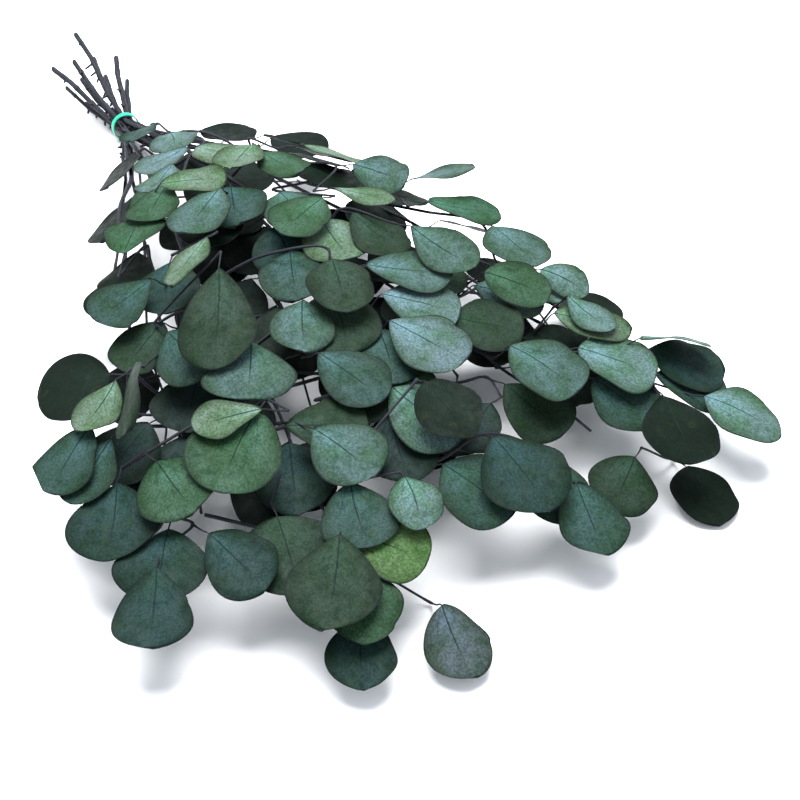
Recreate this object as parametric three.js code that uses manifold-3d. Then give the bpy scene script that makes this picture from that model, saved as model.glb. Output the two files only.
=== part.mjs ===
// A bunch of preserved round-leaf eucalyptus branches, tied with an elastic band and lying down.
//
// Design axes: u runs from the band towards the leaf tips, v across the bunch, z up from the surface
// it lies on, all in millimetres with u = v = 0 at the middle of the band. The finished group has
// x = v and y = -u, with its origin under the middle of the whole bunch.

import * as THREE from "three";
import * as BufferGeometryUtils from "three/addons/utils/BufferGeometryUtils.js";
import Module from "manifold-3d";

const wasm = await Module();
wasm.setup();

// ---- driving dimensions, mm ----
const BAND = { innerRadius: 8.8, outerRadius: 10, width: 4.6, roundSteps: 20, profileSteps: 6 };
const STEM = { sides: 5, steps: 20, slotOuter: 6.3, slotInner: 2.3, tipRadius: 0.75, cutFlare: 1.1 };
const TWIG = {
  sides: 4, rootRadius: 0.95, tipRadius: 0.55, stepsPerLeaf: 2, pastLastLeaf: 1,
  placesTried: 24, stalks: [12, 9, 15, 7], drops: [5, 8, 3, 11, 14], bows: [0, -4, 4, -8, 8],
};
const PETIOLE = { sides: 4, radius: 0.5 };
const LEAF = { midribThickness: 0.9, stations: [0.11, 0.36, 0.65, 0.9] };
const LAYER = 8.5; // height between one layer of leaves and the next
const LOWEST = 2.2; // height of the leaves that lie on the surface
const CLEARANCE = 1.3; // air kept between two leaves, one above the other
const GAP = 0.35; // air kept between pieces that touch

// The bunch faces a person who stands at its leafy end. Leaves under the top layer are pushed back
// along the line from this point, so that each one shows in the gap where it should.
const FACING = new THREE.Vector3(784, -208, 412);

// ---- outline of the heap: half width and crest height along the bunch ----
const HALF_WIDTH = [[-60, 14], [0, 16], [60, 40], [120, 75], [200, 115], [300, 185], [400, 225], [480, 225],
  [560, 190], [640, 120]];
const CREST = [[-150, 30], [-60, 22], [0, 18], [60, 38], [120, 58], [200, 74], [280, 74], [360, 62],
  [440, 44], [520, 24], [600, 10]];

// ---- woody stems: place in the tied bundle, thickness, cut end and leafy end (u, v, z) ----
const STEMS = [
  { ring: "outer", angle: 90, radius: 1.9, cut: [-99, 0, 42], tip: [300, 20, 52] },
  { ring: "outer", angle: 130, radius: 1.85, cut: [-66, -14, 35], tip: [372, -62, 44] },
  { ring: "outer", angle: 170, radius: 1.95, cut: [-76, -27, 29], tip: [240, -85, 42] },
  { ring: "outer", angle: 210, radius: 1.5, cut: [-74, -21, 13], tip: [345, -112, 34] },
  { ring: "outer", angle: 250, radius: 1.6, cut: [-58, -12, 5], tip: [412, -104, 30] },
  { ring: "inner", angle: 210, radius: 1.7, cut: [-70, -9, 19], tip: [458, -56, 26] },
  { ring: "inner", angle: 90, radius: 1.7, cut: [-84, 7, 27], tip: [398, -16, 38] },
  { ring: "outer", angle: 50, radius: 2.0, cut: [-66, 19, 32], tip: [240, 72, 52] },
  { ring: "outer", angle: 10, radius: 1.7, cut: [-52, 21, 19], tip: [332, 110, 42] },
  { ring: "outer", angle: -30, radius: 1.6, cut: [-47, 17, 7], tip: [430, 128, 28] },
  { ring: "outer", angle: -70, radius: 1.6, cut: [-44, 4, 3], tip: [446, 86, 24] },
  { ring: "inner", angle: -30, radius: 1.7, cut: [-72, 9, 16], tip: [430, 34, 32] },
];

// ---- leafy shoots. Each leaf: base u, base v, heading (degrees from +u towards +v), length, width,
// layers under the top of the heap, then roll and pitch in degrees where it doesn't lie with the heap.
const SHOOTS = [
  [[94, -9, -40, 30, 26, 1], [132, -8, -15, 35, 31, 1], [166, -10, -80, 33, 31, 1],
    [185, -25, -44, 31, 30, 1], [201, -40, -28, 30, 28, 2]],
  [[170, -5, 21, 35, 31, 0], [204, -40, 59, 37, 26, 0], [207, -36, -40, 35, 33, 0], [230, -14, -48, 44, 35, 0]],
  [[233, -9, -18, 40, 38, 1], [250, -22, -35, 37, 35, 1.5]],
  [[253, -79, 143, 31, 37, 0], [258, -72, -40, 33, 33, 2]],
  [[272, -40, -51, 37, 23, 0, 25], [280, -63, -25, 37, 35, 1]],
  [[187, 23, -42, 37, 31, 0], [202, 23, 19, 33, 31, 0]],
  [[180, 60, 43, 44, 26, -1], [192, 47, 40, 37, 35, 1], [162, 41, 30, 28, 21, 1]],
  [[251, 12, -5, 38, 38, 1], [266, 31, -58, 42, 35, 0]],
  [[283, -5, -5, 39, 42, 1.5], [287, 20, 0, 33, 40, 1], [303, -6, -20, 37, 35, 1]],
  [[224, 71, 31, 35, 26, 0, 45], [223, 39, 25, 40, 38, 1.5], [257, 42, 46, 35, 28, 0]],
  [[246, 97, 60, 37, 31, -0.5, 0, 28], [284, 87, 72, 42, 33, 0], [264, 64, 45, 31, 30, 1]],
  [[286, 39, 13, 40, 30, 0.5], [305, 64, 20, 44, 28, 0, 25]],
  [[313, 112, 4, 41, 44, 0], [354, 101, 20, 31, 23, 0.5], [357, 114, 30, 28, 19, 0, 35]],
  [[327, 25, 63, 45, 38, 0], [337, 51, 20, 28, 26, 1]],
  [[317, 11, -16, 40, 36, -0.5], [338, -1, -14, 42, 40, 0.5]],
  [[350, 22, 50, 40, 40, 0.5], [368, 17, 30, 42, 40, 0], [376, 47, 59, 37, 38, 0.5], [403, 65, 22, 40, 42, 0]],
  [[360, 70, 50, 37, 35, 1], [352, 82, 41, 35, 26, 0.3, 25]],
  [[380, 116, 15, 30, 23, 0], [377, 119, 20, 31, 31, 1], [390, 100, 53, 40, 26, 0]],
  [[418, 135, 71, 38, 26, -0.3, -38], [415, 98, 45, 40, 38, 0], [400, 74, 45, 35, 33, 2]],
  [[435, 93, 20, 38, 38, 1], [413, 85, -5, 35, 35, 2]],
  [[427, 132, 50, 40, 40, 1], [442, 127, 45, 37, 35, 1], [462, 142, 33, 40, 37, 0.5]],
  [[455, 121, -16, 42, 40, 0], [495, 104, -9, 35, 33, 3], [482, 84, -54, 35, 33, 1.5]],
  [[484, 49, -14, 37, 33, 1], [465, 44, -20, 37, 33, 1.4], [448, 27, 4, 44, 44, 0], [452, -2, 23, 38, 42, 1]],
  [[423, 49, 18, 37, 37, 2], [431, 36, -62, 33, 31, 2]],
  [[286, -75, -75, 35, 37, 0], [318, -82, -55, 33, 31, 1], [335, -102, -27, 39, 26, 1, 55]],
  [[297, -43, -29, 56, 38, 0, 0, -14], [325, -82, 12, 37, 40, 0.5]],
  [[334, -115, -105, 35, 44, 0], [339, -114, -54, 31, 24, 0]],
  [[358, -133, -48, 37, 31, 0.5], [371, -128, -50, 35, 26, 1], [373, -110, -60, 37, 37, 2]],
  [[394, -115, 8, 33, 40, 0], [395, -134, -28, 38, 40, 1]],
  [[391, -65, -45, 45, 44, 0], [391, -62, -100, 33, 23, -0.5]],
  [[352, -50, -28, 35, 44, 0], [338, -16, -24, 35, 33, 0.5], [337, -29, -22, 35, 35, 1.5]],
  [[353, -76, -30, 40, 38, 2], [387, -96, -30, 37, 35, 2.5]],
  [[373, -24, 22, 40, 33, 0], [368, 9, -15, 37, 35, 1]],
  [[411, -46, 21, 37, 38, 0], [404, -57, 64, 38, 37, 0.5]],
  [[397, -27, 38, 26, 24, 1], [397, 1, 30, 24, 21, 1], [405, -2, 18, 42, 40, 0.5]],
  [[408, 14, 6, 37, 33, -0.5], [418, -10, -15, 37, 37, 2], [443, -44, -13, 33, 35, 0.5],
    [451, -21, -14, 27, 25, 0]],
  [[428, -123, -29, 34, 40, 1], [442, -134, -28, 36, 34, 0.6], [439, -109, 17, 36, 31, 0.8]],
  [[445, -80, -10, 37, 44, 1], [413, -59, -20, 38, 37, 2]],
  [[464, -60, -35, 44, 40, 0], [481, -59, -25, 35, 34, 0.8], [502, -69, -27, 31, 29, 1.8]],
  [[464, -56, 42, 36, 33, 1], [511, -37, -8, 34, 28, 2.2]],
];

// ---- leaves inside the heap, on arcs about the band, a step apart; each sector is one shoot ----
const INNER = {
  sectors: 7, from: -18, to: 17, first: 140, last: 430, step: 35, aside: 28, turn: 24,
  length: 38, width: 36, layers: 3.5, alternate: 0.8,
};

// ---- small helpers ----
const radians = THREE.MathUtils.degToRad;

function along(table, at) {
  if (at <= table[0][0]) return table[0][1];
  for (let i = 1; i < table.length; i++) {
    if (at <= table[i][0]) {
      const [x0, y0] = table[i - 1];
      const [x1, y1] = table[i];
      return y0 + ((y1 - y0) * (at - x0)) / (x1 - x0);
    }
  }
  return table[table.length - 1][1];
}

// Height of the top of the heap over (u, v): half an ellipse across, on the crest line.
function heapTop(u, v) {
  const across = v / along(HALF_WIDTH, u);
  return 6 + along(CREST, u) * Math.sqrt(Math.max(0, 1 - across * across));
}

// Height of a layer of leaves, which never goes under the lowest one.
function layerHeight(u, v, layers) {
  return Math.max(heapTop(u, v) - layers * LAYER, LOWEST);
}

// Moves a point along its line from the facing point until it is at height z.
function slideTo(point, z) {
  const share = (z - point.z) / (FACING.z - point.z);
  return point.clone().lerp(FACING, share);
}

function repeatable(seed) {
  const value = Math.sin(seed * 12.9898) * 43758.5453;
  return value - Math.floor(value);
}

// The leaves inside the heap, as one list of rows for each sector, like those of the shoots on top.
function innerShoots() {
  const sectors = Array.from({ length: INNER.sectors }, () => []);
  const fan = INNER.to - INNER.from;
  for (let reach = INNER.first, arc = 0; reach < INNER.last; reach += INNER.step, arc++) {
    const count = Math.round((reach * radians(fan)) / INNER.step);
    for (let k = 0; k < count; k++) {
      const heading = INNER.from + (fan * (k + (arc % 2 ? 0.75 : 0.25))) / count;
      const side = (k + arc) % 2 ? 1 : -1;
      const sector = Math.min(Math.floor(((heading - INNER.from) / fan) * INNER.sectors), INNER.sectors - 1);
      sectors[sector].push([
        reach * Math.cos(radians(heading)), reach * Math.sin(radians(heading)),
        heading + side * INNER.aside + INNER.turn * (repeatable(reach + k) - 0.5),
        INNER.length, INNER.width, INNER.layers + INNER.alternate * ((k + arc) % 2),
      ]);
    }
  }
  return sectors;
}

// ---- leaf: place and shape ----
function placeLeaf(row, seed) {
  const [u, v, heading, length, width, layers, roll = 0, pitch = 0] = row;
  const reach = new THREE.Vector3(Math.cos(radians(heading)), Math.sin(radians(heading)), 0);
  const onTop = (a, b) => slideTo(new THREE.Vector3(a, b, heapTop(a, b)), layerHeight(a, b, layers));
  const base = onTop(u, v);
  const tip = onTop(u + reach.x * length, v + reach.y * length);
  const midrib = tip.clone().sub(base);
  const scale = midrib.length() / length;
  midrib.normalize();
  const [mu, mv, step] = [(base.x + tip.x) / 2, (base.y + tip.y) / 2, 9];
  const slopeU = (layerHeight(mu + step, mv, layers) - layerHeight(mu - step, mv, layers)) / (2 * step);
  const slopeV = (layerHeight(mu, mv + step, layers) - layerHeight(mu, mv - step, layers)) / (2 * step);
  const normal = new THREE.Vector3(-slopeU, -slopeV, 1).normalize();
  const across = normal.clone().cross(midrib).normalize();
  midrib.applyAxisAngle(across, -radians(pitch));
  across.applyAxisAngle(midrib, radians(roll));
  return {
    base, midrib, across, normal: midrib.clone().cross(across).normalize(),
    order: 0.4 * heapTop(mu, mv) - LAYER * layers + (roll || pitch ? 100 : 0),
    length: length * Math.min(scale, 1.08), width: width * Math.min(scale, 1.08),
    fold: 1.6 * (repeatable(seed) - 0.35), arch: 2.4 * (repeatable(seed + 0.5) - 0.3),
    roundness: 0.56 + 0.16 * repeatable(seed + 0.7),
  };
}

// Half the width at a share s of the length: rises and falls as s^a (1 - s)^a.
function halfWidthAt(leaf, s) {
  const peak = 0.25 ** leaf.roundness;
  return ((leaf.width / 2) * (s * (1 - s)) ** leaf.roundness) / peak;
}

// A point of the leaf: s along the midrib, t from -1 to 1 across, lift off the middle surface.
function leafPoint(leaf, s, t, lift = 0, grow = 0) {
  const side = t * (halfWidthAt(leaf, s) + grow);
  const height = lift + leaf.fold * t * t + leaf.arch * (1 - (2 * s - 1) ** 2);
  return leaf.base.clone()
    .addScaledVector(leaf.midrib, s * leaf.length + grow * (2 * s - 1))
    .addScaledVector(leaf.across, side)
    .addScaledVector(leaf.normal, height);
}

// ---- the heap: each leaf is lifted until it clears the ones under it ----
const CELL = 3;
const heap = new Map();
const cellOf = (p) => `${Math.round(p.x / CELL)},${Math.round(p.y / CELL)}`;

function leafSamples(leaf) {
  const points = [];
  for (let i = 0; i <= 16; i++) {
    for (let j = -7; j <= 7; j++) {
      points.push(leafPoint(leaf, i / 16, j / 7));
    }
  }
  return points;
}

function settleLeaf(leaf) {
  for (let round = 0; round < 8; round++) {
    const needed = leafSamples(leaf).map((p) => Math.max((heap.get(cellOf(p)) ?? 0) + CLEARANCE, 1.2) - p.z);
    const lift = Math.max(...needed);
    if (lift < 0.05) break;
    leaf.base = slideTo(leaf.base, leaf.base.z + lift);
    leaf.lifted = (leaf.lifted ?? 0) + lift;
  }
  for (const p of leafSamples(leaf)) {
    heap.set(cellOf(p), Math.max(heap.get(cellOf(p)) ?? 0, p.z));
  }
}

// ---- solids ----
function solidFrom(geometry) {
  const merged = BufferGeometryUtils.mergeVertices(geometry, 1e-5);
  return new wasm.Manifold(new wasm.Mesh({
    numProp: 3,
    vertProperties: Float32Array.from(merged.attributes.position.array),
    triVerts: Uint32Array.from(merged.index.array),
  }));
}

function indexedGeometry(points, triangles) {
  const geometry = new THREE.BufferGeometry();
  geometry.setAttribute("position", new THREE.Float32BufferAttribute(points.flatMap((p) => p.toArray()), 3));
  geometry.setIndex(triangles.flat());
  return geometry;
}

// Four points around a centre: one to each side of the leaf's plane and one to each side in it.
function diamond(leaf, centre, radius) {
  return [[-1, 0], [0, 1], [1, 0], [0, -1]].map(([across, lift]) => {
    return centre.clone().addScaledVector(leaf.across, across * radius).addScaledVector(leaf.normal, lift * radius);
  });
}

// The diamonds of the blade, thickest along the midrib and thin at the margin, and its tip.
function bladeRings(leaf, grow) {
  const half = LEAF.midribThickness / 2 + grow;
  return LEAF.stations.map((s) => [
    leafPoint(leaf, s, -1, 0, grow), leafPoint(leaf, s, 0, half, grow),
    leafPoint(leaf, s, 1, 0, grow), leafPoint(leaf, s, 0, -half, grow),
  ]);
}

function loftedSolid(rings, tip) {
  const points = [...rings.flat(), tip];
  const last = points.length - 1;
  const triangles = [[0, 1, 2], [0, 2, 3]];
  for (let side = 0; side < 4; side++) {
    const next = (side + 3) % 4;
    for (let i = 0; i < rings.length - 1; i++) {
      const here = 4 * i;
      triangles.push([here + side, here + next, here + 4 + next], [here + side, here + 4 + next, here + 4 + side]);
    }
    triangles.push([last - 4 + side, last - 4 + next, last]);
  }
  return solidFrom(indexedGeometry(points, triangles));
}

// A leaf with its stalk, which starts inside the twig.
function leafSolid(leaf, stalk) {
  const stalkRings = stalk.map((point) => diamond(leaf, point, PETIOLE.radius));
  return loftedSolid([...stalkRings, ...bladeRings(leaf, 0)], leafPoint(leaf, 1, 0));
}

// The blade alone with room around it, for cutting what comes too near.
function bladeRoomSolid(leaf) {
  const base = diamond(leaf, leafPoint(leaf, 0, 0, 0, GAP), 0.2);
  return loftedSolid([base, ...bladeRings(leaf, GAP)], leafPoint(leaf, 1, 0, 0, GAP));
}

// A tube with a radius of its own at each point, closed by flat ends.
function tubeSolid(points, radii, sides) {
  const rings = [];
  let across = new THREE.Vector3(0, 0, 1);
  points.forEach((point, i) => {
    const before = points[Math.max(i - 1, 0)];
    const after = points[Math.min(i + 1, points.length - 1)];
    const direction = after.clone().sub(before).normalize();
    if (i === 0 && Math.abs(direction.z) > 0.9) across = new THREE.Vector3(1, 0, 0);
    across = across.clone().addScaledVector(direction, -across.dot(direction)).normalize();
    const other = direction.clone().cross(across);
    for (let k = 0; k < sides; k++) {
      const turn = (2 * Math.PI * k) / sides;
      rings.push(point.clone()
        .addScaledVector(across, radii[i] * Math.cos(turn))
        .addScaledVector(other, radii[i] * Math.sin(turn)));
    }
  });
  const triangles = [];
  for (let i = 0; i < points.length - 1; i++) {
    for (let k = 0; k < sides; k++) {
      const next = (k + 1) % sides;
      const [a, b] = [i * sides + k, i * sides + next];
      triangles.push([a, b, b + sides], [a, b + sides, a + sides]);
    }
  }
  const top = (points.length - 1) * sides;
  for (let k = 1; k < sides - 1; k++) {
    triangles.push([0, k + 1, k], [top, top + k, top + k + 1]);
  }
  return solidFrom(indexedGeometry(rings, triangles));
}

// ---- tubes already in place, as straight runs, for keeping new twigs clear of them ----
const runs = [];

function addRuns(owner, points, radii) {
  for (let i = 1; i < points.length; i++) {
    runs.push({ owner, a: points[i - 1], b: points[i], radius: Math.max(radii[i - 1], radii[i]) });
  }
}

// Closest distance between two straight runs.
function runDistance(p, q, r, s) {
  const d1 = q.clone().sub(p);
  const d2 = s.clone().sub(r);
  const w = p.clone().sub(r);
  const [a, b, c, d, e] = [d1.dot(d1), d1.dot(d2), d2.dot(d2), d1.dot(w), d2.dot(w)];
  const clamp = (x) => Math.min(Math.max(x, 0), 1);
  const slant = a * c - b * b;
  let m = slant > 1e-9 ? clamp((b * e - c * d) / slant) : 0;
  const n = clamp((b * m + e) / c);
  m = clamp((b * n - d) / a);
  return p.clone().addScaledVector(d1, m).distanceTo(r.clone().addScaledVector(d2, n));
}

function clashes(owner, points, radii, margin) {
  let count = 0;
  for (let i = 1; i < points.length; i++) {
    const radius = Math.max(radii[i - 1], radii[i]);
    for (const run of runs) {
      if (run.owner === owner) continue;
      const needed = radius + run.radius + margin;
      if (points[i].distanceTo(run.b) > points[i].distanceTo(points[i - 1]) + run.a.distanceTo(run.b) + needed) continue;
      if (runDistance(points[i - 1], points[i], run.a, run.b) < needed) count++;
    }
  }
  return count;
}

// How often a tube's middle line goes through, or runs close along, the blades of other shoots.
function bladeCrossings(leaves, points) {
  const reach = 4;
  let count = 0;
  for (let i = 1; i < points.length; i++) {
    const steps = Math.ceil(points[i].distanceTo(points[i - 1]) / reach);
    for (let k = 1; k <= steps; k++) {
      const p = points[i - 1].clone().lerp(points[i], k / steps);
      for (const leaf of leaves) {
        if (p.distanceToSquared(leaf.base) > 2500) continue;
        const off = p.clone().sub(leaf.base);
        const s = off.dot(leaf.midrib) / leaf.length;
        if (s < 0 || s > 1) continue;
        const inside = Math.abs(off.dot(leaf.across)) < halfWidthAt(leaf, s) + 1;
        if (inside && Math.abs(off.dot(leaf.normal)) < reach / 2) count++;
      }
    }
  }
  return count;
}

// ---- stems ----
function stemRoute(stem) {
  const reach = stem.ring === "outer" ? STEM.slotOuter : STEM.slotInner;
  const slotV = reach * Math.cos(radians(stem.angle));
  const slotZ = reach * Math.sin(radians(stem.angle));
  const slotHeight = BAND.outerRadius + slotZ;
  const cut = new THREE.Vector3(...stem.cut);
  const tip = new THREE.Vector3(...stem.tip);
  const before = new THREE.Vector3(-6, slotV, slotHeight);
  const after = new THREE.Vector3(6, slotV, slotHeight);
  const rise = new THREE.Vector3(105, tip.y * 0.24 + slotV * 1.5, 30 + 1.9 * slotZ);
  const far = rise.clone().lerp(tip, 0.5);
  far.z += 7;
  return new THREE.CatmullRomCurve3([cut, before, after, rise, far, tip], false, "centripetal");
}

function stemRadii(stem, count) {
  return Array.from({ length: count }, (_, i) => {
    const share = i / (count - 1);
    if (share < 0.2) return stem.radius * THREE.MathUtils.lerp(STEM.cutFlare, 1, share / 0.2);
    return THREE.MathUtils.lerp(stem.radius, STEM.tipRadius, Math.max(share - 0.4, 0) / 0.6);
  });
}

const stems = STEMS.map((stem, i) => {
  const points = stemRoute(stem).getPoints(STEM.steps);
  const radii = stemRadii(stem, points.length);
  return { name: `stem_${String(i + 1).padStart(2, "0")}`, points, radii };
});
stems.forEach((stem) => addRuns(stem.name, stem.points, stem.radii));

// ---- shoots: leaves first, then the twig that joins them and runs to a stem ----
const shoots = [
  ...SHOOTS.map((rows, i) => ({ name: `leafy_shoot_${String(i + 1).padStart(2, "0")}`, rows })),
  ...innerShoots().map((rows, i) => ({ name: `inner_shoot_${i + 1}`, rows })),
];
shoots.forEach((shoot, i) => {
  shoot.leaves = shoot.rows.map((row, k) => placeLeaf(row, 1 + i * 7 + k * 1.7));
});
const everyLeaf = shoots.flatMap((shoot) => shoot.leaves);
everyLeaf.sort((a, b) => a.order - b.order).forEach(settleLeaf);

function petiolePoints(leaf, reach, drop) {
  const base = leafPoint(leaf, 0, 0);
  const joint = leaf.base.clone().addScaledVector(leaf.midrib, -reach);
  joint.z = Math.max(joint.z - drop, 1.6);
  return [joint, base];
}

function twigTube(petioles, bow, stemPoint) {
  const joints = petioles.map((points) => points[0]);
  const order = joints.toSorted((a, b) => a.x - b.x);
  const bend = stemPoint.clone().lerp(order[0], 0.5);
  bend.z = Math.max(bend.z + bow, 2);
  const route = new THREE.CatmullRomCurve3([stemPoint, bend, ...order], false, "centripetal");
  const twig = route.getPoints(TWIG.stepsPerLeaf * (order.length + 1));
  const [beforeLast, last] = twig.slice(-2);
  twig.push(last.clone().add(last.clone().sub(beforeLast).setLength(TWIG.pastLastLeaf)));
  const radii = twig.map((_, i) => THREE.MathUtils.lerp(TWIG.rootRadius, TWIG.tipRadius, i / (twig.length - 1)));
  return { twig, radii, petioles };
}

// Places on the stems where a twig can start, the nearest first.
function rootPlaces(joint) {
  const places = [];
  for (const stem of stems) {
    stem.points.forEach((point, i) => {
      const distance = joint.distanceTo(point);
      if (point.x < 25 || point.x > joint.x || distance < 6 || distance > 130) return;
      const off = stem.radii[i] + TWIG.rootRadius + GAP + 0.1;
      places.push({ point: point.clone().lerp(joint, off / distance), distance });
    });
  }
  return places.sort((a, b) => a.distance - b.distance).slice(0, TWIG.placesTried);
}

function tubeFaults(shoot, others, points, radii) {
  return 10 * clashes(shoot.name, points, radii, GAP / 4) + bladeCrossings(others, points);
}

// Tries stalk lengths, stalk drops, bows of the twig and roots in turn, and stops at the first that is clear.
function routeShoot(shoot) {
  const starts = shoot.leaves.map((leaf) => petiolePoints(leaf, 12, 6)[0]);
  const start = starts.reduce((first, joint) => (joint.x < first.x ? joint : first));
  const others = everyLeaf.filter((leaf) => !shoot.leaves.includes(leaf));
  const twigChoices = TWIG.bows.flatMap((bow) => rootPlaces(start).map((place) => ({ bow, place })));
  let best = { faults: Infinity };
  for (const [reach, drop] of TWIG.stalks.flatMap((length) => TWIG.drops.map((height) => [length, height]))) {
    const petioles = shoot.leaves.map((leaf) => petiolePoints(leaf, reach, drop));
    const petioleRadii = [PETIOLE.radius, PETIOLE.radius];
    const stalkFaults = petioles.reduce((sum, points) => sum + tubeFaults(shoot, others, points, petioleRadii), 0);
    for (const { bow, place } of twigChoices) {
      if (stalkFaults >= best.faults) break;
      const tubes = twigTube(petioles, bow, place.point);
      const faults = stalkFaults + tubeFaults(shoot, others, tubes.twig, tubes.radii);
      if (faults < best.faults) best = { ...tubes, faults };
    }
    if (best.faults === 0) break;
  }
  Object.assign(shoot, best);
  addRuns(shoot.name, shoot.twig, shoot.radii);
  shoot.petioles.forEach((points) => addRuns(shoot.name, points, points.map(() => PETIOLE.radius)));
}
// The shoots that start last in the list reach furthest, so they are routed first.
shoots.toReversed().forEach(routeShoot);

// ---- booleans ----
function join(solids) {
  return solids.reduce((whole, solid) => whole.add(solid));
}

function tubesSolid(shoot, grow) {
  const petioles = shoot.petioles.map((points) => {
    return tubeSolid(points, points.map(() => PETIOLE.radius + grow), PETIOLE.sides);
  });
  return join([tubeSolid(shoot.twig, shoot.radii.map((r) => r + grow), TWIG.sides), ...petioles]);
}

function boxesMeet(a, b) {
  const [p, q] = [a.boundingBox(), b.boundingBox()];
  return [0, 1, 2].every((k) => p.min[k] <= q.max[k] && q.min[k] <= p.max[k]);
}

// Drops what a cut has left loose: keeps the connected piece with the most triangles.
function largestBody(solid) {
  const { vertProperties, triVerts } = solid.getMesh();
  const parent = Array.from({ length: vertProperties.length / 3 }, (_, i) => i);
  const leader = (i) => {
    while (parent[i] !== i) i = parent[i] = parent[parent[i]];
    return i;
  };
  for (let t = 0; t < triVerts.length; t += 3) {
    const first = leader(triVerts[t]);
    parent[leader(triVerts[t + 1])] = first;
    parent[leader(triVerts[t + 2])] = first;
  }
  const sizes = new Map();
  for (let t = 0; t < triVerts.length; t += 3) {
    const body = leader(triVerts[t]);
    sizes.set(body, (sizes.get(body) ?? 0) + 1);
  }
  const largest = [...sizes].sort((a, b) => b[1] - a[1])[0][0];
  const kept = [];
  for (let t = 0; t < triVerts.length; t += 3) {
    if (leader(triVerts[t]) === largest) kept.push(triVerts[t], triVerts[t + 1], triVerts[t + 2]);
  }
  const geometry = new THREE.BufferGeometry();
  geometry.setAttribute("position", new THREE.BufferAttribute(Float32Array.from(vertProperties), 3));
  geometry.setIndex(kept);
  return geometry;
}

// Merges points closer than a few thousandths of a millimetre and drops the faces that this flattens.
function withoutSlivers(geometry) {
  const merged = BufferGeometryUtils.mergeVertices(geometry, 3e-3);
  const faces = new Map();
  const index = merged.index.array;
  for (let t = 0; t < index.length; t += 3) {
    const face = [index[t], index[t + 1], index[t + 2]];
    if (new Set(face).size < 3) continue;
    const key = [...face].sort((a, b) => a - b).join();
    if (faces.has(key)) faces.delete(key);
    else faces.set(key, face);
  }
  merged.setIndex([...faces.values()].flat());
  return merged;
}

// ---- materials ----
function plain(color, roughness) {
  return new THREE.MeshStandardMaterial({ color, roughness, metalness: 0 });
}
const LEAF_COLOURS = ["#7fa392", "#8fb0a4", "#5f8a70", "#6f8a62", "#55766c", "#9dbcb0"];
const BARK = plain("#3f424c", 0.75);
const BAND_RUBBER = plain("#1fc7a6", 0.5);

// ---- meshes, in the finished group's axes ----
const group = new THREE.Group();

function addMesh(name, geometry, material) {
  const turned = geometry.clone();
  const position = turned.attributes.position;
  for (let i = 0; i < position.count; i++) {
    position.setXYZ(i, position.getY(i), -position.getX(i), position.getZ(i));
  }
  const mesh = new THREE.Mesh(withoutSlivers(turned), material);
  mesh.name = name;
  group.add(mesh);
}

function bandGeometry() {
  const middle = (BAND.innerRadius + BAND.outerRadius) / 2;
  const half = { thick: (BAND.outerRadius - BAND.innerRadius) / 2, wide: BAND.width / 2 };
  const profile = [];
  for (let i = 0; i <= BAND.profileSteps; i++) {
    const turn = (2 * Math.PI * (i % BAND.profileSteps)) / BAND.profileSteps;
    profile.push(new THREE.Vector2(middle + half.thick * Math.cos(turn), half.wide * Math.sin(turn)));
  }
  const ring = new THREE.LatheGeometry(profile, BAND.roundSteps);
  ring.rotateZ(Math.PI / 2);
  ring.translate(0, 0, BAND.outerRadius);
  ring.deleteAttribute("normal");
  ring.deleteAttribute("uv");
  return BufferGeometryUtils.mergeVertices(ring, 1e-4);
}

function buildStems() {
  for (const stem of stems) {
    addMesh(stem.name, largestBody(tubeSolid(stem.points, stem.radii, STEM.sides)), BARK);
  }
}

function buildShoots() {
  const stemRoom = stems.map((stem) => tubeSolid(stem.points, stem.radii.map((r) => r + GAP), STEM.sides));
  const tubeRoom = shoots.map((shoot) => tubesSolid(shoot, GAP));
  const bladeRoom = [];
  shoots.forEach((shoot, i) => {
    const leaves = shoot.leaves.map((leaf, k) => leafSolid(leaf, shoot.petioles[k]));
    let whole = join([tubeSolid(shoot.twig, shoot.radii, TWIG.sides), ...leaves]);
    for (const cutter of [...stemRoom, ...tubeRoom.filter((_, k) => k !== i)]) {
      if (boxesMeet(whole, cutter)) whole = whole.subtract(cutter);
    }
    for (const blades of bladeRoom.filter((room) => boxesMeet(whole, room))) {
      whole = whole.subtract(blades.subtract(tubeRoom[i]));
    }
    addMesh(shoot.name, largestBody(whole), plain(LEAF_COLOURS[i % LEAF_COLOURS.length], 0.65));
    bladeRoom.push(join(shoot.leaves.map(bladeRoomSolid)));
  });
}

addMesh("tie_band", bandGeometry(), BAND_RUBBER);
buildStems();
buildShoots();

// The origin goes under the middle of the bunch, at the height of its lowest point.
const box = new THREE.Box3().setFromObject(group);
const middle = box.getCenter(new THREE.Vector3());
group.position.set(-middle.x, -middle.y, -box.min.z);

export default group;
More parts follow.
